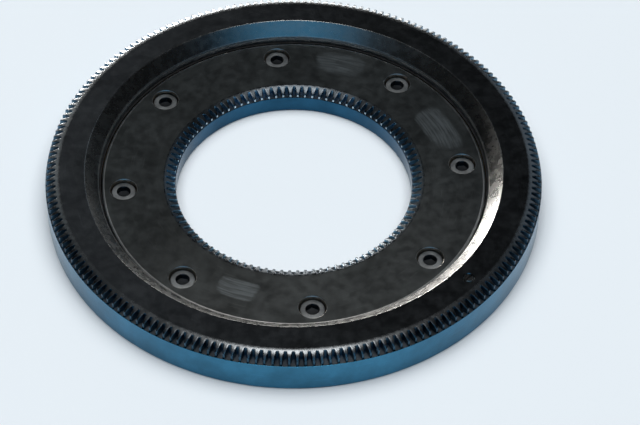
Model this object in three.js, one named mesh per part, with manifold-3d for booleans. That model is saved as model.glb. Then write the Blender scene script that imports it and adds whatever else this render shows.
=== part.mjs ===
// Slewing ring bearing with teeth outside and inside, in millimetres, +Z up, standing on z = 0.
//
// An outer gear ring turns about Z on caged balls. The inner ring is split: the geared ring carries
// the screws' heads, and a retaining ring below it is drawn up by them and closes the inner raceway.
import * as THREE from "three";
import { mergeVertices } from "three/addons/utils/BufferGeometryUtils.js";
import Module from "manifold-3d";

const wasm = await Module();
wasm.setup();

// Gear teeth
const MODULE = 1;
const OUTER_TEETH = 200;
const INNER_TEETH = 100;
const TOOTH_DEPTH = 3.6;
const CREST_WIDTH = 0.85;
const ROOT_GAP = 0.95;

// Outer ring
const HEIGHT = 18;
const OUTER_TOOTH_HEIGHT = 4.5;
const OUTER_SHOULDER_STEP = 0.6;
const OUTER_CROWN_WIDTH = 5;
const OUTER_CROWN_MIDDLE_DROP = 0.6;
const OUTER_CROWN_DROP = 1.9;
const CONE_WIDTH = 5.6;
const LIP_OVERHANG = 1.2;
const LIP_THICKNESS = 2.6;
const EDGE_BREAK = 0.6;

// Inner ring
const INNER_TOOTH_HEIGHT = 3.3;
const INNER_CROWN_WIDTH = 4.4;
const INNER_CROWN_MIDDLE_DROP = 0.8;
const INNER_CROWN_DROP = 1.9;
const INNER_SHOULDER_STEP = 0.3;
const BORE_WALL = 11.3;
const SEAT_TO_SCREWS = 10;
const SCREWS_TO_RIM = 5;
const SCREWS_TO_BALLS = 10;
const PLATE_THICKNESS = 3.4;
const RIM_EDGE_BREAK = 0.7;

// Balls, cage and seals
const BALL_COUNT = 36;
const BALL_RADIUS = 2.5;
const RACE_CLEARANCE = 0.3;
const RING_GAP = 2.2;
const CAGE_WALL = 1.4;
const CAGE_WEB = 0.6;
const POCKET_CLEARANCE = 0.3;
const LOWER_SEAL_ZONE = 2.2;
const UPPER_SEAL_ZONE = 3;
const SEAL_THICKNESS = 1.3;
const SEAL_GROOVE_DEPTH = 1.1;
const SEAL_LIP = 0.4;
const LIP_SUNK = 0.2;
const CAGE_SKIRT = 1.4;

// Clamp screws: M6 low-head socket screws
const SCREW_COUNT = 8;
const SCREW_PHASE = 96.1;
const SCREW_RADIUS = 3;
const HEAD_RADIUS = 5;
const HEAD_HEIGHT = 4;
const HEAD_SUNK = 1.3;
const SOCKET_FLATS = 5;
const SOCKET_DEPTH = 2.4;
const HEAD_CHAMFER = 0.4;
const SCREW_TIP_Z = 0.4;

// Tapped holes underneath, and the lubrication plug in the top land
const TAPPED_COUNT = 8;
const TAPPED_RADIUS = 2.1;
const OUTER_TAPPED_DEPTH = 9;
const INNER_TAPPED_DEPTH = 6;
const PLUG_ANGLE = -41.3;
const PLUG_RADIUS = 1.8;
const PLUG_LENGTH = 4;
const PLUG_SLOT = 0.6;
const DUCT_RADIUS = 1;

// Fits between neighbours
const FLAT_GAP = 0.1;
const ROUND_GAP = 0.3;
const HEAD_GAP = 0.5;
const SEAL_GAP = 0.15;
const SEAL_LIP_GAP = 0.25;
const CUT_MARGIN = 1;

// Facets
const OUTER_FACETS = 100;
const INNER_FACETS = 50;
const HIDDEN_FACETS = 60;
const CAGE_FACETS = 72;
const HOLE_FACETS = 10;
const HEAD_FACETS = 16;
const POCKET_FACETS = 8;
const BALL_FACETS = 8;
const RACE_STEPS = 5;

// Places worked out from the sizes above
const outerTipR = (MODULE * (OUTER_TEETH + 2)) / 2;
const outerRootR = outerTipR - TOOTH_DEPTH;
const shoulderR = outerTipR + OUTER_SHOULDER_STEP;
const innerTipR = (MODULE * (INNER_TEETH - 2)) / 2;
const innerRootR = innerTipR + TOOTH_DEPTH;
const boreR = innerTipR - INNER_SHOULDER_STEP;
const seatR = boreR + BORE_WALL;
const screwCircleR = seatR + SEAT_TO_SCREWS;
const rimR = screwCircleR + SCREWS_TO_RIM;
const ballCircleR = screwCircleR + SCREWS_TO_BALLS;
const raceR = BALL_RADIUS + RACE_CLEARANCE;
const innerWallR = ballCircleR - RING_GAP / 2;
const outerWallR = ballCircleR + RING_GAP / 2;
const lipR = outerWallR - LIP_OVERHANG;
const coneTopR = lipR + CONE_WIDTH;
const grooveR = outerWallR + SEAL_GROOVE_DEPTH;
const grooveHeight = SEAL_THICKNESS + 2 * SEAL_GAP;
const ballZ = LOWER_SEAL_ZONE + raceR;
const innerTopZ = ballZ + raceR + UPPER_SEAL_ZONE;
const lipZ = innerTopZ - LIP_SUNK;
const coneFootZ = lipZ + LIP_THICKNESS;
const upperGrooveZ = lipZ - grooveHeight;
const lowerGrooveZ = LOWER_SEAL_ZONE - grooveHeight;
const outerToothZ = HEIGHT - OUTER_TOOTH_HEIGHT;
const innerToothZ = innerTopZ - INNER_TOOTH_HEIGHT;
const headTopZ = innerTopZ - HEAD_SUNK;
const headSeatZ = headTopZ - HEAD_HEIGHT;
const plugCircleR = (coneTopR + outerRootR) / 2;
const radians = THREE.MathUtils.degToRad;

// A closed geometry as a manifold-3d solid
function solid(geometry) {
  const plain = geometry.index ? geometry.toNonIndexed() : geometry.clone();
  plain.deleteAttribute("normal");
  plain.deleteAttribute("uv");
  const merged = mergeVertices(plain, 1e-4);
  return new wasm.Manifold(
    new wasm.Mesh({
      numProp: 3,
      vertProperties: merged.attributes.position.array,
      triVerts: new Uint32Array(merged.index.array),
    }),
  );
}

function geometryOf(manifold) {
  const { numProp, numVert, vertProperties, triVerts } = manifold.getMesh();
  const positions = new Float32Array(numVert * 3);
  for (let i = 0; i < numVert; i++) {
    positions.set(vertProperties.subarray(i * numProp, i * numProp + 3), i * 3);
  }
  const geometry = new THREE.BufferGeometry();
  geometry.setAttribute("position", new THREE.BufferAttribute(positions, 3));
  geometry.setIndex(new THREE.BufferAttribute(triVerts, 1));
  geometry.computeVertexNormals();
  return geometry;
}

// Turns a closed outline of [radius, height] points about Z
function turned(outline, facets) {
  const points = [...outline, outline[0]].map(([r, z]) => new THREE.Vector2(r, z));
  return solid(new THREE.LatheGeometry(points, facets).rotateX(Math.PI / 2));
}

// An upright cylinder on a circle about Z
function drilled(radius, circleR, degrees, z0, z1, facets = HOLE_FACETS) {
  const a = radians(degrees);
  const geometry = new THREE.CylinderGeometry(radius, radius, z1 - z0, facets);
  geometry.rotateX(Math.PI / 2);
  geometry.translate(circleR * Math.cos(a), circleR * Math.sin(a), (z0 + z1) / 2);
  return solid(geometry);
}

function onCircle(count, phase, make) {
  return Array.from({ length: count }, (_, i) => make(phase + (i * 360) / count));
}

function union(solids) {
  return wasm.Manifold.union(solids);
}

// The gap between two straight-flanked teeth, as an upright prism about the X axis
function toothGap(rootR, tipR, pitchAngle, z0, z1) {
  const outward = Math.sign(tipR - rootR);
  const pastTip = tipR + outward * CUT_MARGIN;
  const tipHalf = (tipR * pitchAngle - CREST_WIDTH) / 2;
  const slope = (tipHalf - ROOT_GAP / 2) / Math.abs(tipR - rootR);
  const pastHalf = tipHalf + slope * CUT_MARGIN;
  const shape = new THREE.Shape();
  shape.moveTo(rootR, -ROOT_GAP / 2);
  shape.lineTo(pastTip, -pastHalf);
  shape.lineTo(pastTip, pastHalf);
  shape.lineTo(rootR, ROOT_GAP / 2);
  shape.closePath();
  const geometry = new THREE.ExtrudeGeometry(shape, { depth: z1 - z0, bevelEnabled: false });
  return solid(geometry.translate(0, 0, z0));
}

function toothGaps(teeth, rootR, tipR, z0, z1) {
  const gap = toothGap(rootR, tipR, (2 * Math.PI) / teeth, z0, z1);
  return union(onCircle(teeth, 0, (degrees) => gap.rotate([0, 0, degrees])));
}

// Half a raceway: outline points of the groove in a wall, from one angle to another about the ball
function raceArc(fromDegrees, toDegrees) {
  return Array.from({ length: RACE_STEPS + 1 }, (_, i) => {
    const a = radians(fromDegrees + ((toDegrees - fromDegrees) * i) / RACE_STEPS);
    return [ballCircleR + raceR * Math.cos(a), ballZ + raceR * Math.sin(a)];
  });
}
// Angle about the ball at which the raceway meets the wall, and at which a level plane meets it
const raceEdge = THREE.MathUtils.radToDeg(Math.acos(RING_GAP / 2 / raceR));
const splitEdge = THREE.MathUtils.radToDeg(Math.asin(FLAT_GAP / 2 / raceR));

function outerGearRing() {
  const body = turned(
    [
      [shoulderR - EDGE_BREAK, 0],
      [shoulderR, EDGE_BREAK],
      [shoulderR, outerToothZ],
      [outerTipR, outerToothZ],
      [outerTipR, HEIGHT - OUTER_CROWN_DROP],
      [outerTipR - OUTER_CROWN_WIDTH / 2, HEIGHT - OUTER_CROWN_MIDDLE_DROP],
      [outerTipR - OUTER_CROWN_WIDTH, HEIGHT],
      [coneTopR, HEIGHT],
      [lipR, coneFootZ],
      [lipR, 0],
    ],
    OUTER_FACETS,
  );
  const inside = turned(
    [
      [lipR - CUT_MARGIN, -CUT_MARGIN],
      [outerWallR, -CUT_MARGIN],
      [outerWallR, lowerGrooveZ],
      [grooveR, lowerGrooveZ],
      [grooveR, lowerGrooveZ + grooveHeight],
      [outerWallR, lowerGrooveZ + grooveHeight],
      ...raceArc(-raceEdge, raceEdge),
      [outerWallR, upperGrooveZ],
      [grooveR, upperGrooveZ],
      [grooveR, lipZ],
      [lipR - CUT_MARGIN, lipZ],
    ],
    HIDDEN_FACETS,
  );
  const teeth = toothGaps(OUTER_TEETH, outerRootR, outerTipR, outerToothZ, HEIGHT + CUT_MARGIN);
  const tapped = onCircle(TAPPED_COUNT, SCREW_PHASE + 180 / TAPPED_COUNT, (degrees) =>
    drilled(TAPPED_RADIUS, (grooveR + shoulderR) / 2, degrees, -CUT_MARGIN, OUTER_TAPPED_DEPTH),
  );
  const plugBore = drilled(
    PLUG_RADIUS + ROUND_GAP,
    plugCircleR,
    PLUG_ANGLE,
    HEIGHT - PLUG_LENGTH - FLAT_GAP,
    HEIGHT + CUT_MARGIN,
  );
  return body.subtract(union([inside, teeth, ...tapped, plugBore, oilDuct()]));
}

// A slanted drilling from the bottom of the plug's bore to the middle of the raceway
function oilDuct() {
  const top = new THREE.Vector3(plugCircleR, 0, HEIGHT - PLUG_LENGTH);
  const race = new THREE.Vector3(ballCircleR + BALL_RADIUS, 0, ballZ);
  const along = top.clone().sub(race);
  const duct = new THREE.CylinderGeometry(DUCT_RADIUS, DUCT_RADIUS, along.length(), HOLE_FACETS / 2);
  duct.applyQuaternion(
    new THREE.Quaternion().setFromUnitVectors(new THREE.Vector3(0, 1, 0), along.normalize()),
  );
  duct.translate((top.x + race.x) / 2, 0, (top.z + race.z) / 2);
  return solid(duct.rotateZ(radians(PLUG_ANGLE)));
}

function screwHoles(z0, z1) {
  return onCircle(SCREW_COUNT, SCREW_PHASE, (degrees) =>
    drilled(SCREW_RADIUS + ROUND_GAP, screwCircleR, degrees, z0, z1),
  );
}

function innerGearRing() {
  const body = turned(
    [
      [seatR, 0],
      [seatR, PLATE_THICKNESS + FLAT_GAP],
      [rimR, PLATE_THICKNESS + FLAT_GAP],
      [rimR, ballZ + FLAT_GAP / 2],
      ...raceArc(180 - splitEdge, 180 - raceEdge),
      [innerWallR, innerTopZ - RIM_EDGE_BREAK],
      [innerWallR - RIM_EDGE_BREAK, innerTopZ],
      [innerTipR + INNER_CROWN_WIDTH, innerTopZ],
      [innerTipR + INNER_CROWN_WIDTH / 2, innerTopZ - INNER_CROWN_MIDDLE_DROP],
      [innerTipR, innerTopZ - INNER_CROWN_DROP],
      [innerTipR, innerToothZ],
      [boreR, innerToothZ],
      [boreR, EDGE_BREAK],
      [boreR + EDGE_BREAK, 0],
    ],
    INNER_FACETS,
  );
  const teeth = toothGaps(INNER_TEETH, innerRootR, innerTipR, innerToothZ, innerTopZ + CUT_MARGIN);
  const counterbores = onCircle(SCREW_COUNT, SCREW_PHASE, (degrees) =>
    drilled(
      HEAD_RADIUS + HEAD_GAP,
      screwCircleR,
      degrees,
      headSeatZ - FLAT_GAP,
      innerTopZ + CUT_MARGIN,
      HEAD_FACETS,
    ),
  );
  const tapped = onCircle(TAPPED_COUNT, SCREW_PHASE + 180 / TAPPED_COUNT, (degrees) =>
    drilled(TAPPED_RADIUS, (boreR + seatR) / 2, degrees, -CUT_MARGIN, INNER_TAPPED_DEPTH),
  );
  return body.subtract(union([teeth, ...counterbores, ...screwHoles(0, headSeatZ), ...tapped]));
}

function retainingRing() {
  const body = turned(
    [
      [seatR + ROUND_GAP, 0],
      [innerWallR - EDGE_BREAK, 0],
      [innerWallR, EDGE_BREAK],
      ...raceArc(180 + raceEdge, 180 + splitEdge),
      [rimR + ROUND_GAP, ballZ - FLAT_GAP / 2],
      [rimR + ROUND_GAP, PLATE_THICKNESS],
      [seatR + ROUND_GAP, PLATE_THICKNESS],
    ],
    INNER_FACETS,
  );
  return body.subtract(union(screwHoles(-CUT_MARGIN, PLATE_THICKNESS + CUT_MARGIN)));
}

// A seal ring held in a groove of the outer ring, its lip reaching in to the inner ring
function seal(grooveZ, lipOnTop) {
  const low = grooveZ + SEAL_GAP;
  const high = low + SEAL_THICKNESS;
  const lipTipR = innerWallR + SEAL_LIP_GAP;
  const backR = grooveR - SEAL_GAP;
  const upward = [
    [lipTipR, high - SEAL_LIP],
    [ballCircleR, low],
    [backR, low],
    [backR, high],
    [lipTipR, high],
  ];
  const downward = [
    [lipTipR, low],
    [backR, low],
    [backR, high],
    [ballCircleR, high],
    [lipTipR, low + SEAL_LIP],
  ];
  return turned(lipOnTop ? upward : downward, HIDDEN_FACETS);
}

// A crown cage: round pockets along a thin ring, open below so that it snaps over the balls
function ballCage() {
  const pocketR = BALL_RADIUS + POCKET_CLEARANCE;
  const inside = ballCircleR - CAGE_WALL / 2;
  const outside = ballCircleR + CAGE_WALL / 2;
  const low = ballZ - CAGE_SKIRT;
  const high = ballZ + pocketR + CAGE_WEB;
  const body = turned(
    [
      [inside, low],
      [outside, low],
      [outside, high],
      [inside, high],
    ],
    CAGE_FACETS,
  );
  const pockets = onCircle(BALL_COUNT, 0, (degrees) => {
    const length = CAGE_WALL + 2 * CUT_MARGIN;
    const geometry = new THREE.CylinderGeometry(pocketR, pocketR, length, POCKET_FACETS);
    geometry.rotateZ(Math.PI / 2);
    geometry.translate(ballCircleR, 0, ballZ);
    return solid(geometry.rotateZ(radians(degrees)));
  });
  return body.subtract(union(pockets));
}

function clampScrew(degrees) {
  const outline = [
    [0, SCREW_TIP_Z],
    [SCREW_RADIUS, SCREW_TIP_Z],
    [SCREW_RADIUS, headSeatZ],
    [HEAD_RADIUS, headSeatZ],
    [HEAD_RADIUS, headTopZ - HEAD_CHAMFER],
    [HEAD_RADIUS - HEAD_CHAMFER, headTopZ],
    [0, headTopZ],
  ];
  const points = outline.map(([r, z]) => new THREE.Vector2(r, z));
  const body = solid(new THREE.LatheGeometry(points, HEAD_FACETS).rotateX(Math.PI / 2));
  const cornerR = SOCKET_FLATS / Math.sqrt(3);
  const socket = drilled(cornerR, 0, 0, headTopZ - SOCKET_DEPTH, headTopZ + CUT_MARGIN, 6);
  const a = radians(degrees);
  return body
    .subtract(socket)
    .rotate([0, 0, degrees])
    .translate([screwCircleR * Math.cos(a), screwCircleR * Math.sin(a), 0]);
}

function lubricationPlug() {
  const bottom = HEIGHT - PLUG_LENGTH;
  const top = HEIGHT - FLAT_GAP;
  const body = drilled(PLUG_RADIUS, plugCircleR, PLUG_ANGLE, bottom, top);
  const slot = new THREE.BoxGeometry(PLUG_SLOT, 4 * PLUG_RADIUS, 2 * PLUG_SLOT);
  slot.translate(plugCircleR, 0, top).rotateZ(radians(PLUG_ANGLE));
  return body.subtract(solid(slot));
}

function ball(degrees) {
  const a = radians(degrees);
  const geometry = new THREE.SphereGeometry(BALL_RADIUS, BALL_FACETS, BALL_FACETS / 2);
  geometry.translate(ballCircleR * Math.cos(a), ballCircleR * Math.sin(a), ballZ);
  return solid(geometry);
}

const materials = {
  bluedSteel: new THREE.MeshStandardMaterial({ color: 0x24282e, roughness: 0.35, metalness: 0.9 }),
  plainSteel: new THREE.MeshStandardMaterial({ color: 0x77797a, roughness: 0.45, metalness: 0.9 }),
  ballSteel: new THREE.MeshStandardMaterial({ color: 0xc9ccd0, roughness: 0.12, metalness: 1 }),
  brass: new THREE.MeshStandardMaterial({ color: 0xb08a45, roughness: 0.4, metalness: 0.9 }),
  rubber: new THREE.MeshStandardMaterial({ color: 0x101112, roughness: 0.7, metalness: 0 }),
};

const bearing = new THREE.Group();

function add(name, manifold, material) {
  const mesh = new THREE.Mesh(geometryOf(manifold), materials[material]);
  mesh.name = name;
  bearing.add(mesh);
}

add("outer_gear_ring", outerGearRing(), "bluedSteel");
add("inner_gear_ring", innerGearRing(), "bluedSteel");
add("retaining_ring", retainingRing(), "bluedSteel");
add("ball_cage", ballCage(), "brass");
add("upper_seal", seal(upperGrooveZ, true), "rubber");
add("lower_seal", seal(lowerGrooveZ, false), "rubber");
add("lubrication_plug", lubricationPlug(), "plainSteel");
onCircle(SCREW_COUNT, SCREW_PHASE, clampScrew).forEach((screw, i) =>
  add(`clamp_screw_${i + 1}`, screw, "plainSteel"),
);
onCircle(BALL_COUNT, 0, ball).forEach((steelBall, i) =>
  add(`ball_${String(i + 1).padStart(2, "0")}`, steelBall, "ballSteel"),
);

export default bearing;
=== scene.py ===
"""Looks of the slewing ring bearing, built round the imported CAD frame. Metres, +Z up, ring axis on Z."""

import math

import bmesh
import bpy
import numpy as np
from mathutils import Matrix, Vector


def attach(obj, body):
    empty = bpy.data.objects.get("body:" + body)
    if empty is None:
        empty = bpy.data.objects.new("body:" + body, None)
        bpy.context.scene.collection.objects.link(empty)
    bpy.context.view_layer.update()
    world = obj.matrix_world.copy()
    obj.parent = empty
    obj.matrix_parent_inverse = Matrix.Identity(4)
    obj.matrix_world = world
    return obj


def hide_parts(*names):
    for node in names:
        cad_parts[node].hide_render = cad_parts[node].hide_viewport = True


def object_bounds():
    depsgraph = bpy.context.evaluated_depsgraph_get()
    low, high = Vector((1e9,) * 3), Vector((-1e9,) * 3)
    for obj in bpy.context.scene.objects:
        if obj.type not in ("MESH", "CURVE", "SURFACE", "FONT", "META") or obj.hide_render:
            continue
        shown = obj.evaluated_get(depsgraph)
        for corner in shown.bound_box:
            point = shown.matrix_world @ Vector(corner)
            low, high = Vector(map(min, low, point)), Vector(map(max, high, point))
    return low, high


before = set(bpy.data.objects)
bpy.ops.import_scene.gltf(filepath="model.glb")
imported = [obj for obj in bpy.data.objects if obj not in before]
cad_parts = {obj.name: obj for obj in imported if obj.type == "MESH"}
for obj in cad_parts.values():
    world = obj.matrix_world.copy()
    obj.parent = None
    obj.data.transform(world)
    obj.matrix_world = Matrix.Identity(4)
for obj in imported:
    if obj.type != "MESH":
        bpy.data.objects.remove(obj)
cad_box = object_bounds()
MM = 0.001

# Sizes in millimetres, the same driving sizes as the CAD part
MODULE = 1
OUTER_TEETH = 200
INNER_TEETH = 100
TOOTH_DEPTH = 3.6
CREST_WIDTH = 0.85
ROOT_GAP = 0.95
HEIGHT = 18
OUTER_TOOTH_HEIGHT = 4.5
OUTER_SHOULDER_STEP = 0.6
OUTER_CROWN_WIDTH = 5
OUTER_CROWN_MIDDLE_DROP = 0.6
OUTER_CROWN_DROP = 1.9
CONE_WIDTH = 5.6
LIP_THICKNESS = 2.6
LIP_OVERHANG = 1.2
EDGE_BREAK = 0.6
INNER_TOOTH_HEIGHT = 3.3
INNER_CROWN_WIDTH = 4.4
INNER_CROWN_MIDDLE_DROP = 0.8
INNER_CROWN_DROP = 1.9
INNER_SHOULDER_STEP = 0.3
BORE_WALL = 11.3
SEAT_TO_SCREWS = 10
SCREWS_TO_RIM = 5
SCREWS_TO_BALLS = 10
PLATE_THICKNESS = 3.4
RIM_EDGE_BREAK = 0.7
BALL_COUNT = 36
BALL_RADIUS = 2.5
RACE_CLEARANCE = 0.3
RING_GAP = 2.2
CAGE_WALL = 1.4
CAGE_WEB = 0.6
CAGE_SKIRT = 1.4
POCKET_CLEARANCE = 0.3
LOWER_SEAL_ZONE = 2.2
UPPER_SEAL_ZONE = 3
SEAL_THICKNESS = 1.3
SEAL_GROOVE_DEPTH = 1.1
LIP_SUNK = 0.2
SEAL_GAP = 0.15
SEAL_LIP = 0.4
SEAL_LIP_GAP = 0.25
SCREW_COUNT = 8
SCREW_PHASE = 96.1
SCREW_RADIUS = 3
SCREW_TIP_Z = 0.4
HEAD_RADIUS = 5
HEAD_HEIGHT = 4
HEAD_SUNK = 1.3
HEAD_GAP = 0.5
SOCKET_FLATS = 5
SOCKET_DEPTH = 2.4
TAPPED_COUNT = 8
TAPPED_RADIUS = 2.1
OUTER_TAPPED_DEPTH = 9
INNER_TAPPED_DEPTH = 6
PLUG_ANGLE = -41.3
PLUG_RADIUS = 1.8
PLUG_LENGTH = 4
PLUG_SLOT = 0.6
FLAT_GAP = 0.1
ROUND_GAP = 0.3

# Fine shape, in millimetres and shares
CROWN_STEPS = 4
FLANK_ROUNDING = 0.12
MOUTH_CHAMFER = 0.25
THREAD_PITCH = 0.8
THREAD_DEPTH = 0.3
SCREW_PITCH = 1
KNURL = 0.12
CUT_MARGIN = 1

# Machined steel: noise scales per metre, and how far the matt patches stand out
CLOUD_SCALE = 55
BLOTCH_SCALE = 260
GRAIN_SCALE = 1500
LINE_SCALE = 2600
ARC_SCALE = 1300
ARC_TURN = 0.09
MARK_STRENGTH = 0.75
MARK_ROUGHER = 0.12
MARK_BLOTCH = 2.0
MARK_CLOUD = 4.0
MARK_EDGE = 3.0
MATT_PATCHES = ((68.8, 72.8, 6.5, 8.5), (66.9, 24.3, 6.0, 10.0), (64.4, -110.0, 4.5, 7.0))

# Studio, in metres and degrees, and the lens in millimetres
FLOOR_HALF = 8
CAMERA_DISTANCE = 0.9595
CAMERA_ELEVATION = 46.93
CAMERA_PAN = -0.64
CAMERA_TILT = -1.17
CAMERA_ROLL = -0.19
CAMERA_LENS = 131.96
WARM_WHITE = (1, 0.965, 0.93)
HORIZON_HAZE = (0.5, 0.52, 0.53, 1)
# Soft panels in the room: azimuth, elevation, inner and outer angle, then colour
SOFT_PANELS = (
    ((180, 52, 9, 30), (0.05, 0.2, 0.36, 1)),
    ((-32, 38, 3, 11), (0.3, 0.33, 0.34, 1)),
    ((35, 33, 8, 20), (0.2, 0.24, 0.28, 1)),
)

# Places worked out from the sizes
outer_tip_r = MODULE * (OUTER_TEETH + 2) / 2
outer_root_r = outer_tip_r - TOOTH_DEPTH
shoulder_r = outer_tip_r + OUTER_SHOULDER_STEP
inner_tip_r = MODULE * (INNER_TEETH - 2) / 2
inner_root_r = inner_tip_r + TOOTH_DEPTH
bore_r = inner_tip_r - INNER_SHOULDER_STEP
seat_r = bore_r + BORE_WALL
screw_circle_r = seat_r + SEAT_TO_SCREWS
rim_r = screw_circle_r + SCREWS_TO_RIM
ball_circle_r = screw_circle_r + SCREWS_TO_BALLS
race_r = BALL_RADIUS + RACE_CLEARANCE
inner_wall_r = ball_circle_r - RING_GAP / 2
outer_wall_r = ball_circle_r + RING_GAP / 2
lip_r = outer_wall_r - LIP_OVERHANG
cone_top_r = lip_r + CONE_WIDTH
groove_r = outer_wall_r + SEAL_GROOVE_DEPTH
groove_height = SEAL_THICKNESS + 2 * SEAL_GAP
ball_z = LOWER_SEAL_ZONE + race_r
inner_top_z = ball_z + race_r + UPPER_SEAL_ZONE
lip_z = inner_top_z - LIP_SUNK
cone_foot_z = lip_z + LIP_THICKNESS
upper_groove_z = lip_z - groove_height
lower_groove_z = LOWER_SEAL_ZONE - groove_height
outer_tooth_z = HEIGHT - OUTER_TOOTH_HEIGHT
inner_tooth_z = inner_top_z - INNER_TOOTH_HEIGHT
head_top_z = inner_top_z - HEAD_SUNK
head_seat_z = head_top_z - HEAD_HEIGHT
plug_circle_r = (cone_top_r + outer_root_r) / 2


# ---------------------------------------------------------------- mesh helpers


def rounded(outline, steps=2):
    """Rounds the corners of a closed outline of (r, z, radius); radius 0 leaves the corner sharp."""
    points = []
    for i, (r, z, radius) in enumerate(outline):
        here = np.array((r, z))
        if not radius:
            points.append(here)
            continue
        before = np.array(outline[i - 1][:2]) - here
        after = np.array(outline[(i + 1) % len(outline)][:2]) - here
        reach = min(radius, 0.45 * np.linalg.norm(before), 0.45 * np.linalg.norm(after))
        start = here + before / np.linalg.norm(before) * reach
        end = here + after / np.linalg.norm(after) * reach
        for t in np.linspace(0, 1, steps + 1):
            points.append((1 - t) ** 2 * start + 2 * t * (1 - t) * here + t * t * end)
    return points


def new_piece(name, vertices, faces):
    """A mesh object from vertices in millimetres, with its face normals made consistent."""
    mesh = bpy.data.meshes.new(name)
    mesh.from_pydata((np.asarray(vertices) * MM).tolist(), [], faces)
    made = bmesh.new()
    made.from_mesh(mesh)
    bmesh.ops.recalc_face_normals(made, faces=made.faces)
    made.to_mesh(mesh)
    made.free()
    piece = bpy.data.objects.new(name, mesh)
    bpy.context.scene.collection.objects.link(piece)
    return piece


def swept(name, sections, angles):
    """A closed ring through one closed section of (r, z) points at each angle about Z."""
    sections = np.asarray(sections, float)
    stations, count = sections.shape[:2]
    x = sections[..., 0] * np.cos(angles)[:, None]
    y = sections[..., 0] * np.sin(angles)[:, None]
    vertices = np.stack([x, y, sections[..., 1]], -1).reshape(-1, 3)
    here = np.arange(stations * count).reshape(stations, count)
    after = np.roll(here, -1, axis=0)
    quads = np.stack([here, after, np.roll(after, -1, axis=1), np.roll(here, -1, axis=1)], -1)
    return new_piece(name, vertices, quads.reshape(-1, 4).tolist())


def turned(name, outline, stations=360):
    section = rounded(outline)
    angles = np.arange(stations) * 2 * math.pi / stations
    return swept(name, [section] * stations, angles)


def lathed(name, outline, facets=64, places=((0, 0, 0),)):
    """Solids turned about their own upright axes from (r, z) points that start and end on the axis.

    places gives the distance from Z, the angle in degrees and the lift of each copy."""
    around = np.arange(facets) * 2 * math.pi / facets
    rims = outline[1:-1]
    vertices, faces = [], []
    for circle_r, degrees, lift in places:
        base = len(vertices)
        a = math.radians(degrees)
        x0, y0 = circle_r * math.cos(a), circle_r * math.sin(a)
        vertices += [(x0, y0, outline[0][1] + lift), (x0, y0, outline[-1][1] + lift)]
        for r, z in rims:
            vertices += [(x0 + r * math.cos(a + b), y0 + r * math.sin(a + b), z + lift) for b in around]
        for i in range(facets):
            j = (i + 1) % facets
            low, high = base + 2, base + 2 + (len(rims) - 1) * facets
            faces += [(base, low + j, low + i), (base + 1, high + i, high + j)]
            for k in range(len(rims) - 1):
                row = low + k * facets
                faces.append((row + i, row + j, row + facets + j, row + facets + i))
    return new_piece(name, vertices, faces)


def cut(piece, *cutters):
    """Subtracts each cutter from the piece and removes the cutter."""
    for cutter in cutters:
        difference = piece.modifiers.new("cut", "BOOLEAN")
        difference.operation = "DIFFERENCE"
        difference.solver = "MANIFOLD"
        difference.object = cutter
        graph = bpy.context.evaluated_depsgraph_get()
        mesh = bpy.data.meshes.new_from_object(piece.evaluated_get(graph))
        piece.modifiers.remove(difference)
        piece.data = mesh
        bpy.data.objects.remove(cutter)
    return piece


def paint(piece, *regions):
    """Gives each face the material of the first region whose test of (r, z, normal) it passes."""
    mesh = piece.data
    mesh.materials.clear()
    for material, _ in regions:
        mesh.materials.append(material)
    for face in mesh.polygons:
        x, y, z = (value / MM for value in face.center)
        r = math.hypot(x, y)
        face.material_index = next(i for i, (_, test) in enumerate(regions) if test(r, z, face.normal))
    return piece


def everywhere(r, z, normal):
    return True


def finished(piece, body, slot, *nodes):
    """Smooth shading, and the piece's body and the CAD nodes that it stands for; the material slot argument
    is not used.
    """
    piece.data.shade_smooth()
    piece.data.set_sharp_from_angle(angle=math.radians(40))
    normals = piece.modifiers.new("normals", "WEIGHTED_NORMAL")
    normals.keep_sharp = True
    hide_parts(*nodes)
    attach(piece, body)
    return piece


def race_arc(from_degrees, to_degrees, steps=24):
    """Outline points of the raceway, by angle about the balls' centre."""
    points = []
    for degrees in np.linspace(from_degrees, to_degrees, steps + 1):
        a = math.radians(degrees)
        points.append((ball_circle_r + race_r * math.cos(a), ball_z + race_r * math.sin(a), 0))
    return points


race_edge = math.degrees(math.acos(RING_GAP / 2 / race_r))
split_edge = math.degrees(math.asin(FLAT_GAP / 2 / race_r))


def tooth_stations(teeth, tip_r, root_r):
    """Angles round the ring and the toothed edge's radius at each, gap centres on whole pitches."""
    pitch = 2 * math.pi / teeth
    tip_half = (pitch * tip_r - CREST_WIDTH) / 2 / tip_r
    root_half = ROOT_GAP / 2 / root_r
    near_tip = FLANK_ROUNDING / 2
    across = [
        (0, root_r),
        (root_half, root_r),
        (root_half + FLANK_ROUNDING * (tip_half - root_half), root_r + FLANK_ROUNDING * (tip_r - root_r)),
        (tip_half - near_tip * (tip_half - root_half), tip_r - near_tip * (tip_r - root_r)),
        (tip_half + FLANK_ROUNDING * (pitch / 2 - tip_half), tip_r),
        (pitch / 2, tip_r),
    ]
    mirrored = [(-a, r) for a, r in across[-2:0:-1]]
    profile = mirrored + across
    angles = [k * pitch + a for k in range(teeth) for a, _ in profile]
    radii = [r for _ in range(teeth) for _, r in profile]
    return np.array(angles), np.array(radii)


# ---------------------------------------------------------------- shader helpers


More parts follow.
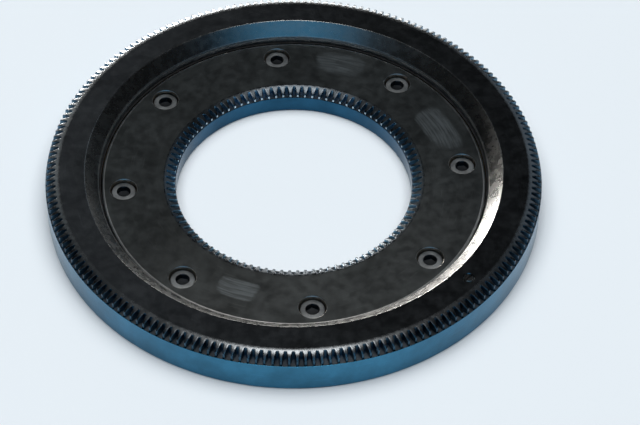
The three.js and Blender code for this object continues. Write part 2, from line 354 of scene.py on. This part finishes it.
class Shader:
    """Adds nodes to one tree; every method returns an output socket."""

    def __init__(self, tree):
        self.tree = tree
        tree.nodes.clear()

    def node(self, kind, inputs=(), **settings):
        made = self.tree.nodes.new("ShaderNode" + kind)
        for key, value in settings.items():
            setattr(made, key, value)
        for key, value in dict(inputs).items():
            socket = made.inputs[key]
            if isinstance(value, bpy.types.NodeSocket):
                self.tree.links.new(value, socket)
            else:
                socket.default_value = value
        return made

    def math(self, operation, *values):
        return self.node("Math", enumerate(values), operation=operation).outputs[0]

    def ramp(self, value, low, high, to_low=0.0, to_high=1.0):
        """A smooth step of the value, from to_low at low to to_high at high."""
        inputs = {"Value": value, "From Min": low, "From Max": high, "To Min": to_low, "To Max": to_high}
        return self.node("MapRange", inputs, interpolation_type="SMOOTHSTEP").outputs[0]

    def mix(self, factor, low, high, blend="MIX"):
        inputs = {0: factor, 6: low, 7: high}
        return self.node("Mix", inputs, data_type="RGBA", blend_type=blend).outputs[2]

    def noise(self, vector, scale, detail=3.0, roughness=0.55):
        inputs = {"Vector": vector, "Scale": scale, "Detail": detail, "Roughness": roughness}
        return self.node("TexNoise", inputs).outputs[0]

    def combine(self, x, y, z):
        return self.node("CombineXYZ", {0: x, 1: y, 2: z}).outputs[0]

    def place(self):
        """Object coordinates, and the radius and angle about Z in metres and degrees, and the height."""
        place = self.node("TexCoord").outputs["Object"]
        x, y, z = self.node("SeparateXYZ", {0: place}).outputs
        r = self.node("VectorMath", {0: self.combine(x, y, 0.0)}, operation="LENGTH").outputs[1]
        degrees = self.math("MULTIPLY", self.math("ARCTAN2", y, x), 180 / math.pi)
        return place, r, degrees, z


def surface(name, build):
    """A material from build(shader), which returns its principled node's inputs and its bump height."""
    material = bpy.data.materials.new(name)
    material.use_nodes = True
    shader = Shader(material.node_tree)
    inputs, height, depth = build(shader)
    bump = shader.node("Bump", {"Height": height, "Strength": 1.0, "Distance": depth})
    inputs["Normal"] = bump.outputs[0]
    principled = shader.node("BsdfPrincipled", inputs)
    output = shader.node("OutputMaterial")
    material.node_tree.links.new(principled.outputs[0], output.inputs[0])
    return material


def grey(value, tint=(1, 1, 1)):
    return (value * tint[0], value * tint[1], value * tint[2], 1)


# ---------------------------------------------------------------- materials


def machined(name, colour, roughness, clouds=0.25, lines=0.5, depth=0.004, marks=()):
    """Turned steel: clouded oxide, turning lines about Z, fine arcs of wear and a satin grain.

    marks are paler matt patches, each (r, degrees, half width along r, half width in degrees)."""

    def build(s):
        place, r, degrees, z = s.place()
        cloud = s.noise(place, CLOUD_SCALE, 4, 0.6)
        blotch = s.noise(place, BLOTCH_SCALE, 3, 0.6)
        grain = s.noise(place, GRAIN_SCALE, 2)
        line_r, line_z = (s.math("MULTIPLY", value, LINE_SCALE) for value in (r, z))
        line = s.noise(s.combine(line_r, line_z, 0.0), 1, 2)
        arc_r, arc_z = (s.math("MULTIPLY", value, ARC_SCALE) for value in (r, z))
        arcs = s.noise(s.combine(arc_r, s.math("MULTIPLY", degrees, ARC_TURN), arc_z), 1, 2)
        worn = s.ramp(arcs, 0.6, 0.78)
        shade = s.ramp(cloud, 0.25, 0.75, 1 - clouds, 1 + clouds)
        shade = s.math("ADD", shade, s.math("MULTIPLY", worn, clouds))
        shade = s.math("MULTIPLY", shade, s.ramp(blotch, 0.3, 0.7, 1 - 0.35 * clouds, 1 + 0.35 * clouds))
        tone = s.mix(1.0, colour, s.combine(shade, shade, shade), "MULTIPLY")
        rough = s.ramp(blotch, 0.3, 0.7, roughness * 0.88, roughness * 1.14)
        for mark_r, mark_degrees, half_r, half_degrees in marks:
            off_r = s.math("DIVIDE", s.math("SUBTRACT", r, mark_r * MM), half_r * MM)
            off_t = s.math("DIVIDE", s.math("SUBTRACT", degrees, mark_degrees), half_degrees)
            apart = s.math("ADD", s.math("POWER", off_r, 4.0), s.math("POWER", off_t, 4.0))
            unevenness = s.math(
                "ADD", s.math("MULTIPLY", blotch, MARK_BLOTCH), s.math("MULTIPLY", cloud, MARK_CLOUD)
            )
            ragged = s.math("SUBTRACT", s.math("ADD", apart, unevenness), MARK_EDGE)
            faded = s.ramp(ragged, 0.1, 1.5, 1.0, 0.0)
            inside = s.math("MULTIPLY", faded, s.ramp(arcs, 0.35, 0.62, 0.4, 1.0))
            tone = s.mix(s.math("MULTIPLY", inside, MARK_STRENGTH), tone, grey(0.5, (0.92, 1.0, 1.02)))
            rough = s.math("ADD", rough, s.math("MULTIPLY", inside, MARK_ROUGHER))
        relief = s.math("ADD", s.math("MULTIPLY", line, lines), s.math("MULTIPLY", grain, 1 - lines))
        return {"Base Color": tone, "Metallic": 1.0, "Roughness": rough}, relief, depth * MM

    return surface(name, build)


def rubber():
    def build(s):
        place, *_ = s.place()
        cloud = s.noise(place, 300, 3)
        grain = s.noise(place, 2400, 2)
        tone = s.mix(s.ramp(cloud, 0.3, 0.7), grey(0.007), grey(0.014))
        rough = s.ramp(cloud, 0.3, 0.7, 0.42, 0.58)
        return {"Base Color": tone, "Roughness": rough}, grain, 0.01 * MM

    return surface("nitrile_rubber", build)


def brass():
    def build(s):
        place, _, _, z = s.place()
        cloud = s.noise(place, 120, 4)
        line = s.noise(s.combine(0.0, 0.0, s.math("MULTIPLY", z, 3000)), 1, 2)
        tone = s.mix(s.ramp(cloud, 0.3, 0.7), (0.56, 0.38, 0.14, 1), (0.42, 0.26, 0.09, 1))
        rough = s.ramp(cloud, 0.3, 0.7, 0.28, 0.4)
        return {"Base Color": tone, "Metallic": 1.0, "Roughness": rough}, line, 0.006 * MM

    return surface("cage_brass", build)


def bearing_steel():
    def build(s):
        place, *_ = s.place()
        cloud = s.noise(place, 900, 3)
        haze = s.noise(place, 5000, 2)
        tone = s.mix(s.ramp(cloud, 0.3, 0.7), grey(0.6), grey(0.7, (1, 1, 1.02)))
        rough = s.ramp(haze, 0.3, 0.7, 0.06, 0.12)
        return {"Base Color": tone, "Metallic": 1.0, "Roughness": rough}, haze, 0.001 * MM

    return surface("ball_bearing_steel", build)


BLUED = (0.034, 0.152, 0.255, 1)

land_steel = machined(
    "land_blued_steel",
    grey(0.38, (0.94, 1, 1.05)),
    roughness=0.18,
    clouds=0.25,
    lines=0.6,
    depth=0.002,
)
cone_steel = machined(
    "cone_steel",
    grey(0.52, (1.0, 1.0, 0.97)),
    roughness=0.27,
    clouds=0.12,
    lines=0.8,
    depth=0.001,
)
crown_steel = machined(
    "crown_steel",
    grey(0.31, (0.94, 1, 1.04)),
    roughness=0.26,
    clouds=0.15,
    lines=0.5,
    depth=0.003,
)
inner_crown_steel = machined(
    "inner_crown_steel",
    grey(0.17, (0.88, 1, 1.1)),
    roughness=0.28,
    clouds=0.2,
    lines=0.5,
    depth=0.003,
)
# Paler steel on the inner tooth crests: a painted reflection of the bright floor that they face.
crest_sheen_steel = machined(
    "crest_painted_sheen_steel",
    grey(0.46, (0.8, 1, 1.14)),
    roughness=0.32,
    clouds=0.25,
    lines=0.3,
    depth=0.003,
)
# Darker blued steel on the outer tooth crests: painted shade, darkening the crests that catch the bright
# floor's reflection.
crest_shaded_steel = machined(
    "crest_shaded_steel",
    (0.03, 0.075, 0.115, 1),
    roughness=0.36,
    clouds=0.25,
    lines=0.4,
    depth=0.003,
)
# Pale warm steel in the counterbores: painted light, lightening the shade in the gap round the screw heads.
counterbore_lightened_steel = machined(
    "counterbore_lightened_steel",
    grey(0.5, (1, 0.84, 0.7)),
    roughness=0.55,
    clouds=0.2,
    lines=0.7,
    depth=0.003,
)
wall_steel = machined("wall_blued_steel", BLUED, roughness=0.2, clouds=0.18, lines=0.8, depth=0.003)
bore_steel = machined(
    "bore_blued_steel",
    (0.016, 0.075, 0.14, 1),
    roughness=0.2,
    clouds=0.18,
    lines=0.8,
    depth=0.003,
)
# Paler blued steel in the outer tooth gaps and flanks: painted light, lightening the shade that falls between
# the teeth.
outer_teeth_lit_steel = machined(
    "outer_teeth_lightened_blued_steel",
    (0.1, 0.19, 0.27, 1),
    roughness=0.36,
    clouds=0.25,
    lines=0.4,
    depth=0.003,
)
# Much paler blued steel in the inner tooth gaps and flanks: painted light, lightening the shade that falls
# between the narrow teeth.
inner_teeth_lit_steel = machined(
    "inner_teeth_lightened_blued_steel",
    (0.28, 0.5, 0.66, 1),
    roughness=0.4,
    clouds=0.25,
    lines=0.4,
    depth=0.003,
)
# Pale steel on the edges, partly bare steel where the bluing is worn off and partly a painted highlight that
# puts bright lines and glints on the lip edge, the chamfers and the plug.
edge_glint_steel = machined(
    "bare_edge_and_glint_steel",
    grey(0.9, (1.0, 0.98, 0.94)),
    roughness=0.42,
    clouds=0.1,
    lines=0.5,
    depth=0.002,
)
recess_steel = machined(
    "recess_satin_steel",
    grey(0.2, (0.94, 1, 0.98)),
    roughness=0.44,
    clouds=0.25,
    lines=0.5,
    marks=MATT_PATCHES,
)
under_steel = machined(
    "underside_steel",
    grey(0.3, (0.9, 1, 1.08)),
    roughness=0.38,
    clouds=0.3,
    lines=0.7,
)
race_steel = machined(
    "race_ground_steel",
    grey(0.6),
    roughness=0.14,
    clouds=0.08,
    lines=0.9,
    depth=0.001,
)
screw_steel = machined(
    "screw_steel",
    grey(0.7, (0.99, 1, 0.98)),
    roughness=0.5,
    clouds=0.3,
    lines=0.4,
)
# Dark steel in the hexagon sockets: painted shade in the hollow of each socket.
socket_shaded_steel = machined(
    "socket_painted_shade_steel",
    grey(0.13, (0.95, 1, 1.05)),
    roughness=0.5,
    clouds=0.3,
    lines=0.3,
)
plug_steel = machined(
    "plug_dark_steel",
    grey(0.2, (1, 0.98, 0.94)),
    roughness=0.3,
    clouds=0.2,
    lines=0.4,
)
rubber_material = rubber()
brass_material = brass()
ball_material = bearing_steel()


# ---------------------------------------------------------------- outer body


def crown(start_r, end_r, tip_r, top_z, middle_drop, drop):
    """Outline points of a rounded crown from start_r to end_r; it drops most at tip_r."""
    points = []
    for r in np.linspace(start_r, end_r, CROWN_STEPS + 1)[1:]:
        u = (r - start_r) / (tip_r - start_r)
        fall = (4 * middle_drop - drop) * u + (2 * drop - 4 * middle_drop) * u * u
        points.append((r, top_z - fall, 0))
    points[-1] = (*points[-1][:2], 0.15)
    return points


def outer_gear_ring():
    crown_r = outer_tip_r - OUTER_CROWN_WIDTH
    angles, radii = tooth_stations(OUTER_TEETH, outer_tip_r, outer_root_r)
    sections = []
    for r in radii:
        outline = [
            (shoulder_r, 0, EDGE_BREAK),
            (shoulder_r, outer_tooth_z, 0.2),
            (r, outer_tooth_z, 0),
            *crown(crown_r, r, outer_tip_r, HEIGHT, OUTER_CROWN_MIDDLE_DROP, OUTER_CROWN_DROP)[::-1],
            (crown_r, HEIGHT, 0.3),
            (cone_top_r, HEIGHT, 0.18),
            (lip_r, cone_foot_z, 0.6),
            (lip_r, lip_z, 0.12),
            (groove_r, lip_z, 0),
            (groove_r, upper_groove_z, 0),
            (outer_wall_r, upper_groove_z, 0),
            *race_arc(race_edge, -race_edge, 8),
            (outer_wall_r, lower_groove_z + groove_height, 0),
            (groove_r, lower_groove_z + groove_height, 0),
            (groove_r, lower_groove_z, 0),
            (outer_wall_r, lower_groove_z, 0),
            (outer_wall_r, 0, 0.15),
        ]
        sections.append(rounded(outline))
    piece = swept("outer_gear_ring_fine", sections, angles)
    tapped_r = (groove_r + shoulder_r) / 2
    phase = SCREW_PHASE + 180 / TAPPED_COUNT
    tapped = [(tapped_r, phase + i * 360 / TAPPED_COUNT, 0) for i in range(TAPPED_COUNT)]
    bore = PLUG_RADIUS + ROUND_GAP
    plug_bore = [
        (0, HEIGHT - PLUG_LENGTH - FLAT_GAP),
        (bore, HEIGHT - PLUG_LENGTH - FLAT_GAP),
        (bore, HEIGHT - MOUTH_CHAMFER),
        (bore + CUT_MARGIN, HEIGHT - MOUTH_CHAMFER + CUT_MARGIN),
        (0, HEIGHT + CUT_MARGIN),
    ]
    cut(
        piece,
        lathed("tapped", tapped_hole(OUTER_TAPPED_DEPTH), 48, tapped),
        lathed("plug_bore", plug_bore, 48, [(plug_circle_r, PLUG_ANGLE, 0)]),
    )
    paint(
        piece,
        # lip edge at the cone's foot: bare steel and a painted highlight line
        (edge_glint_steel, lambda r, z, n: r < lip_r + 0.3 and abs(z - cone_foot_z) < 0.5),
        (cone_steel, lambda r, z, n: r < cone_top_r and z > cone_foot_z),
        (crown_steel, lambda r, z, n: r > crown_r - 0.2 and z > outer_tooth_z + 1 and n.z > 0.6),
        (land_steel, lambda r, z, n: z > HEIGHT - 0.2),
        # outer tooth crests: painted shade against the floor's reflection
        (crest_shaded_steel, lambda r, z, n: z > outer_tooth_z and r > outer_tip_r - 0.03 and abs(n.z) < 0.5),
        # outer tooth gaps and flanks: painted light against the shade between the teeth
        (outer_teeth_lit_steel, lambda r, z, n: z > outer_tooth_z and r > outer_root_r - 1 and n.z < 0.6),
        (race_steel, lambda r, z, n: r < groove_r and 0 < z < lip_z),
        (under_steel, lambda r, z, n: z < 0.05 or r < shoulder_r - 1),
        (wall_steel, everywhere),
    )
    return finished(piece, "outer_ring_assembly", "outer_blued_steel", "outer_gear_ring")


def tapped_hole(depth):
    """Outline of a blind hole from below, with a countersunk mouth, thread grooves and a drill point."""
    grooves = []
    for k in range(int((depth - 2) / THREAD_PITCH)):
        z = 0.6 + k * THREAD_PITCH
        grooves += [(TAPPED_RADIUS, z), (TAPPED_RADIUS - THREAD_DEPTH, z + THREAD_PITCH / 2)]
    return [
        (0, -CUT_MARGIN),
        (TAPPED_RADIUS + 0.4 + CUT_MARGIN, -CUT_MARGIN),
        (TAPPED_RADIUS, 0.4),
        *grooves,
        (TAPPED_RADIUS - THREAD_DEPTH, depth - TAPPED_RADIUS / 2),
        (0, depth),
    ]


def seal(name, groove_z, lip_on_top):
    low = groove_z + SEAL_GAP
    high = low + SEAL_THICKNESS
    tip_r = inner_wall_r + SEAL_LIP_GAP
    back_r = groove_r - SEAL_GAP
    if lip_on_top:
        outline = [(tip_r, high - SEAL_LIP, 0.12), (ball_circle_r, low, 0.3), (back_r, low, 0.1)]
        outline += [(back_r, high, 0.1), (tip_r, high, 0.12)]
    else:
        outline = [(tip_r, low, 0.12), (back_r, low, 0.1), (back_r, high, 0.1)]
        outline += [(ball_circle_r, high, 0.3), (tip_r, low + SEAL_LIP, 0.12)]
    piece = turned(name + "_fine", outline)
    paint(piece, (rubber_material, everywhere))
    return finished(piece, "outer_ring_assembly", "seal_rubber", name)


def lubrication_plug():
    top = HEIGHT - FLAT_GAP
    piece = lathed(
        "lubrication_plug_fine",
        [
            (0, HEIGHT - PLUG_LENGTH),
            (PLUG_RADIUS - 0.2, HEIGHT - PLUG_LENGTH),
            (PLUG_RADIUS, HEIGHT - PLUG_LENGTH + 0.2),
            (PLUG_RADIUS, top - 0.2),
            (PLUG_RADIUS - 0.2, top),
            (0, top),
        ],
        64,
        [(plug_circle_r, PLUG_ANGLE, 0)],
    )
    a = math.radians(PLUG_ANGLE)
    along, across = Vector((math.cos(a), math.sin(a), 0)), Vector((-math.sin(a), math.cos(a), 0))
    corners = []
    for z in (top - PLUG_SLOT, top + PLUG_SLOT):
        for u, v in ((-1, -1), (1, -1), (1, 1), (-1, 1)):
            side = along * (plug_circle_r + u * PLUG_SLOT / 2) + across * (v * 2 * PLUG_RADIUS)
            corners.append((side.x, side.y, z))
    sides = [(i, (i + 1) % 4, 4 + (i + 1) % 4, 4 + i) for i in range(4)]
    cut(piece, new_piece("slot", corners, [(3, 2, 1, 0), (4, 5, 6, 7), *sides]))
    # The plug's chamfer gets the pale edge steel as a painted glint.
    paint(piece, (edge_glint_steel, lambda r, z, n: 0.2 < n.z < 0.9), (plug_steel, everywhere))
    return finished(piece, "outer_ring_assembly", "plug_steel", "lubrication_plug")


# ---------------------------------------------------------------- inner body


def inner_gear_ring():
    crown_r = inner_tip_r + INNER_CROWN_WIDTH
    angles, radii = tooth_stations(INNER_TEETH, inner_tip_r, inner_root_r)
    sections = []
    for r in radii:
        outline = [
            (seat_r, 0, 0.15),
            (seat_r, PLATE_THICKNESS + FLAT_GAP, 0),
            (rim_r, PLATE_THICKNESS + FLAT_GAP, 0),
            (rim_r, ball_z + FLAT_GAP / 2, 0),
            *race_arc(180 - split_edge, 180 - race_edge),
            (inner_wall_r, inner_top_z - RIM_EDGE_BREAK, 0.45),
            (inner_wall_r - RIM_EDGE_BREAK, inner_top_z, 0.45),
            (crown_r, inner_top_z, 0.3),
            *crown(crown_r, r, inner_tip_r, inner_top_z, INNER_CROWN_MIDDLE_DROP, INNER_CROWN_DROP),
            (r, inner_tooth_z, 0),
            (bore_r, inner_tooth_z, 0.12),
            (bore_r, 0, EDGE_BREAK),
        ]
        sections.append(rounded(outline))
    piece = swept("inner_gear_ring_fine", sections, angles)
    bore = HEAD_RADIUS + HEAD_GAP
    screw_hole = [
        (0, 0),
        (SCREW_RADIUS + ROUND_GAP, 0),
        (SCREW_RADIUS + ROUND_GAP, head_seat_z - FLAT_GAP),
        (bore, head_seat_z - FLAT_GAP),
        (bore, inner_top_z - MOUTH_CHAMFER),
        (bore + CUT_MARGIN, inner_top_z - MOUTH_CHAMFER + CUT_MARGIN),
        (0, inner_top_z + CUT_MARGIN),
    ]
    phase = SCREW_PHASE + 180 / TAPPED_COUNT
    tapped_r = (bore_r + seat_r) / 2
    tapped = [(tapped_r, phase + i * 360 / TAPPED_COUNT, 0) for i in range(TAPPED_COUNT)]
    cut(
        piece,
        lathed("screw_holes", screw_hole, 64, screw_places()),
        lathed("tapped", tapped_hole(INNER_TAPPED_DEPTH), 48, tapped),
    )
    paint(
        piece,
        # rim edge and screw-hole mouths: bare steel, brightened further as a painted highlight
        (edge_glint_steel, lambda r, z, n: r > inner_wall_r - 1.3 and z > inner_top_z - 1 and n.z < 0.99),
        (edge_glint_steel, lambda r, z, n: r > crown_r + 1 and inner_top_z - MOUTH_CHAMFER < z and 0.4 < n.z < 0.9),
        (
            inner_crown_steel,
            lambda r, z, n: r < crown_r + 0.2 and z > inner_tooth_z + 0.5 and 0.5 < n.z < 0.999,
        ),
        (recess_steel, lambda r, z, n: z > inner_top_z - 0.02),
        # inner tooth crests: painted reflection of the floor
        (crest_sheen_steel, lambda r, z, n: z > inner_tooth_z and r < inner_tip_r + 0.03 and abs(n.z) < 0.5),
        # inner tooth gaps and flanks: painted light against the shade between the teeth
        (inner_teeth_lit_steel, lambda r, z, n: z > inner_tooth_z and r < inner_root_r + 1 and n.z < 0.5),
        (bore_steel, lambda r, z, n: r < bore_r + 0.7 and z > 0.05),
        # counterbore walls and floors: painted light against the shade in the holes
        (counterbore_lightened_steel, lambda r, z, n: seat_r < r < rim_r + 1 and z > head_seat_z - 0.3),
        (under_steel, everywhere),
    )
    return finished(piece, "inner_ring_assembly", "inner_blued_steel", "inner_gear_ring")


def screw_places():
    return [(screw_circle_r, SCREW_PHASE + i * 360 / SCREW_COUNT, 0) for i in range(SCREW_COUNT)]


def retaining_ring():
    piece = turned(
        "retaining_ring_fine",
        [
            (seat_r + ROUND_GAP, 0, 0.2),
            (inner_wall_r, 0, EDGE_BREAK),
            *race_arc(180 + race_edge, 180 + split_edge),
            (rim_r + ROUND_GAP, ball_z - FLAT_GAP / 2, 0.1),
            (rim_r + ROUND_GAP, PLATE_THICKNESS, 0),
            (seat_r + ROUND_GAP, PLATE_THICKNESS, 0.1),
        ],
    )
    hole = SCREW_RADIUS + ROUND_GAP
    outline = [
        (0, -CUT_MARGIN),
        (hole + MOUTH_CHAMFER + CUT_MARGIN, -CUT_MARGIN),
        (hole, MOUTH_CHAMFER),
        (hole, PLATE_THICKNESS + CUT_MARGIN),
        (0, PLATE_THICKNESS + CUT_MARGIN),
    ]
    cut(piece, lathed("screw_holes", outline, 64, screw_places()))
    paint(
        piece,
        (race_steel, lambda r, z, n: r > rim_r + ROUND_GAP + 0.1 and 1 < z),
        (under_steel, everywhere),
    )
    return finished(piece, "inner_ring_assembly", "inner_blued_steel", "retaining_ring")


def clamp_screw_mesh():
    """One low-head socket screw about its own axis: threaded shank, knurled head, hexagon socket."""
    shank = [(0, SCREW_TIP_Z), (SCREW_RADIUS - 0.6, SCREW_TIP_Z), (SCREW_RADIUS - 0.1, SCREW_TIP_Z + 0.5)]
    for k in range(int((head_seat_z - SCREW_TIP_Z - 1) / SCREW_PITCH)):
        z = SCREW_TIP_Z + 0.6 + k * SCREW_PITCH
        shank += [(SCREW_RADIUS - 0.45, z + SCREW_PITCH * 0.4), (SCREW_RADIUS, z + SCREW_PITCH * 0.9)]
    head = [
        (SCREW_RADIUS, head_seat_z),
        (HEAD_RADIUS - 0.25, head_seat_z),
        (HEAD_RADIUS, head_seat_z + 0.25),
        (HEAD_RADIUS, head_top_z - 0.55),
        (HEAD_RADIUS - 0.15, head_top_z - 0.2),
        (HEAD_RADIUS - 0.5, head_top_z),
        (0, head_top_z),
    ]
    piece = lathed("clamp_screw_fine", shank + head, 96)
    for i, vertex in enumerate(piece.data.vertices):
        x, y, z = vertex.co / MM
        if math.hypot(x, y) > HEAD_RADIUS - 0.05 and i % 2:
            vertex.co *= Vector((1 - KNURL / HEAD_RADIUS, 1 - KNURL / HEAD_RADIUS, 1))
    corner_r = SOCKET_FLATS / math.sqrt(3)
    floor_z = head_top_z - SOCKET_DEPTH
    socket = [
        (0, floor_z - 0.4),
        (corner_r * 0.86, floor_z),
        (corner_r, floor_z),
        (corner_r, head_top_z + CUT_MARGIN),
        (0, head_top_z + CUT_MARGIN),
    ]
    mouth = [
        (0, head_top_z - 0.3),
        (corner_r - 0.32, head_top_z - 0.3),
        (corner_r + CUT_MARGIN - 0.02, head_top_z + CUT_MARGIN),
        (0, head_top_z + CUT_MARGIN),
    ]
    cut(piece, lathed("socket", socket, 6), lathed("mouth", mouth, 48))
    paint(
        piece,
        # inside of the hexagon socket: painted shade
        (socket_shaded_steel, lambda r, z, n: r < corner_r + 0.02 and floor_z - 1 < z < head_top_z - 0.02),
        (screw_steel, everywhere),
    )
    return piece


def copies(first, places, names, body, slot):
    """Copies of one finished mesh, each turned and set at its own place about Z."""
    for (circle_r, degrees, lift), node in zip(places, names):
        piece = bpy.data.objects.new(node + "_fine", first.data)
        bpy.context.scene.collection.objects.link(piece)
        a = math.radians(degrees)
        piece.location = (circle_r * math.cos(a) * MM, circle_r * math.sin(a) * MM, lift * MM)
        piece.rotation_euler.z = a
        finished(piece, body, slot, node)
    bpy.data.objects.remove(first)


# ---------------------------------------------------------------- cage and balls


def ball_cage():
    pocket_r = BALL_RADIUS + POCKET_CLEARANCE
    inside, outside = ball_circle_r - CAGE_WALL / 2, ball_circle_r + CAGE_WALL / 2
    low, high = ball_z - CAGE_SKIRT, ball_z + pocket_r + CAGE_WEB
    piece = turned(
        "ball_cage_fine",
        [(inside, low, 0.15), (outside, low, 0.15), (outside, high, 0.2), (inside, high, 0.2)],
        BALL_COUNT * 16,
    )
    lathe = lathed("pocket", [(0, -2), (pocket_r, -2), (pocket_r, 2), (0, 2)], 48)
    pocket = np.array([vertex.co for vertex in lathe.data.vertices]) / MM
    faces = [tuple(face.vertices) for face in lathe.data.polygons]
    bpy.data.objects.remove(lathe)
    vertices, all_faces = [], []
    for i in range(BALL_COUNT):
        a = 2 * math.pi * i / BALL_COUNT
        r = ball_circle_r + pocket[:, 2]
        x = r * math.cos(a) - pocket[:, 0] * math.sin(a)
        y = r * math.sin(a) + pocket[:, 0] * math.cos(a)
        all_faces += [tuple(v + len(vertices) for v in face) for face in faces]
        vertices += np.stack([x, y, ball_z + pocket[:, 1]], -1).tolist()
    cut(piece, new_piece("pockets", vertices, all_faces))
    paint(piece, (brass_material, everywhere))
    return finished(piece, "caged_balls", "cage_brass", "ball_cage")


def ball_mesh():
    steps = 24
    outline = []
    for k in range(steps + 1):
        a = math.pi * (k / steps - 0.5)
        outline.append((BALL_RADIUS * math.cos(a), BALL_RADIUS * math.sin(a)))
    piece = lathed("ball_fine", outline, 2 * steps)
    return paint(piece, (ball_material, everywhere))


outer_gear_ring()
seal("upper_seal", upper_groove_z, True)
seal("lower_seal", lower_groove_z, False)
lubrication_plug()
inner_gear_ring()
retaining_ring()
screw_names = [f"clamp_screw_{i + 1}" for i in range(SCREW_COUNT)]
copies(clamp_screw_mesh(), screw_places(), screw_names, "inner_ring_assembly", "screw_steel")
ball_cage()
ball_places = [(ball_circle_r, i * 360 / BALL_COUNT, ball_z) for i in range(BALL_COUNT)]
ball_names = [f"ball_{i + 1:02d}" for i in range(BALL_COUNT)]
copies(ball_mesh(), ball_places, ball_names, "caged_balls", "ball_steel")


# ---------------------------------------------------------------- studio


def studio_floor():
    mesh = bpy.data.meshes.new("floor")
    corners = [(-1, -1, 0), (1, -1, 0), (1, 1, 0), (-1, 1, 0)]
    mesh.from_pydata([(x * FLOOR_HALF, y * FLOOR_HALF, z) for x, y, z in corners], [], [(0, 1, 2, 3)])
    floor = bpy.data.objects.new("floor", mesh)
    floor.location.z = cad_box[0].z - 0.0002
    bpy.context.scene.collection.objects.link(floor)

    def build(s):
        place, *_ = s.place()
        tone = s.mix(s.noise(place, 3, 2), (0.79, 0.845, 0.885, 1), (0.81, 0.865, 0.905, 1))
        return {"Base Color": tone, "Roughness": 0.75}, s.noise(place, 400, 3), 0.00001

    mesh.materials.append(surface("pale_floor", build))


def area_light(name, place, target, size, power, colour=(1, 1, 1), glossy=True, diffuse=True):
    data = bpy.data.lights.new(name, "AREA")
    data.shape = "RECTANGLE"
    data.size, data.size_y = size
    data.energy = power
    data.color = colour
    light = bpy.data.objects.new(name, data)
    light.location = place
    light.rotation_euler = (Vector(target) - Vector(place)).to_track_quat("-Z", "Y").to_euler()
    light.visible_glossy = glossy
    light.visible_diffuse = diffuse
    bpy.context.scene.collection.objects.link(light)


def studio_world():
    """A dark room: pale haze on the horizon, a blue panel above and behind the camera, two faint panels."""
    world = bpy.data.worlds.new("studio")
    bpy.context.scene.world = world
    world.use_nodes = True
    s = Shader(world.node_tree)
    look = s.node("TexCoord").outputs["Generated"]
    x, _, z = s.node("SeparateXYZ", {0: look}).outputs

    def towards(azimuth, elevation, inner, outer):
        """1 within the inner angle of a direction, falling to 0 at the outer angle, all in degrees."""
        a, e = math.radians(azimuth), math.radians(elevation)
        axis = (math.cos(e) * math.sin(a), math.cos(e) * math.cos(a), math.sin(e))
        dot = s.node("VectorMath", {0: look, 1: axis}, operation="DOT_PRODUCT").outputs[1]
        return s.ramp(dot, math.cos(math.radians(outer)), math.cos(math.radians(inner)))

    horizon = s.ramp(z, 0.0, math.sin(math.radians(3)), 1.0, 0.0)
    dome = s.math("MULTIPLY", s.ramp(x, -0.12, 0.08, 0.045, 0.006), s.ramp(x, -0.6, -0.4, 0.15, 1.0))
    tone = s.mix(1.0, s.combine(dome, dome, dome), (0.92, 1.0, 1.08, 1), "MULTIPLY")
    tone = s.mix(horizon, tone, HORIZON_HAZE)
    for direction, colour in SOFT_PANELS:
        tone = s.mix(towards(*direction), tone, colour)
    background = s.node("Background", {0: tone})
    output = s.node("OutputWorld")
    world.node_tree.links.new(background.outputs[0], output.inputs[0])


def studio_camera():
    """The camera looks down at the middle of the top face, a little off its own axis."""
    elevation = math.radians(CAMERA_ELEVATION)
    centre = Vector((0, 0, HEIGHT * MM))
    offset = Vector((0, -math.cos(elevation), math.sin(elevation))) * CAMERA_DISTANCE
    forward = -offset.normalized()
    right = Vector((1, 0, 0))
    up = right.cross(forward)
    for axis_name, degrees in (("up", CAMERA_PAN), ("right", CAMERA_TILT), ("forward", CAMERA_ROLL)):
        axis = {"up": up, "right": right, "forward": forward}[axis_name]
        turn = Matrix.Rotation(math.radians(degrees), 3, axis)
        right, up, forward = turn @ right, turn @ up, turn @ forward
    data = bpy.data.cameras.new("camera")
    data.lens = CAMERA_LENS
    data.sensor_width = 36
    data.clip_start = 0.05
    data.clip_end = 50
    camera = bpy.data.objects.new("camera", data)
    camera.matrix_world = Matrix.Translation(centre + offset) @ Matrix(
        (right, up, -forward)
    ).transposed().to_4x4()
    bpy.context.scene.collection.objects.link(camera)
    bpy.context.scene.camera = camera


studio_floor()
studio_world()
area_light("zenith_panel", place=(0, 0.06, 1.2), target=(0, 0.06, 0), size=(0.3, 0.34), power=1.5)
area_light("room_light", place=(0, 0, 2.6), target=(0, 0, 0), size=(3, 3), power=84, glossy=False)
area_light(
    "low_panel",
    place=(-0.476, 1.42, 0.08),
    target=(0, 0, 0.08),
    size=(0.56, 0.16),
    power=15,
    colour=WARM_WHITE,
    diffuse=False,
)
area_light(
    "low_fill",
    place=(0.1, 1.5, 0.08),
    target=(0, 0, 0.08),
    size=(0.58, 0.16),
    power=2.5,
    colour=WARM_WHITE,
    diffuse=False,
)
studio_camera()
bpy.context.scene.view_settings.view_transform = "Standard"
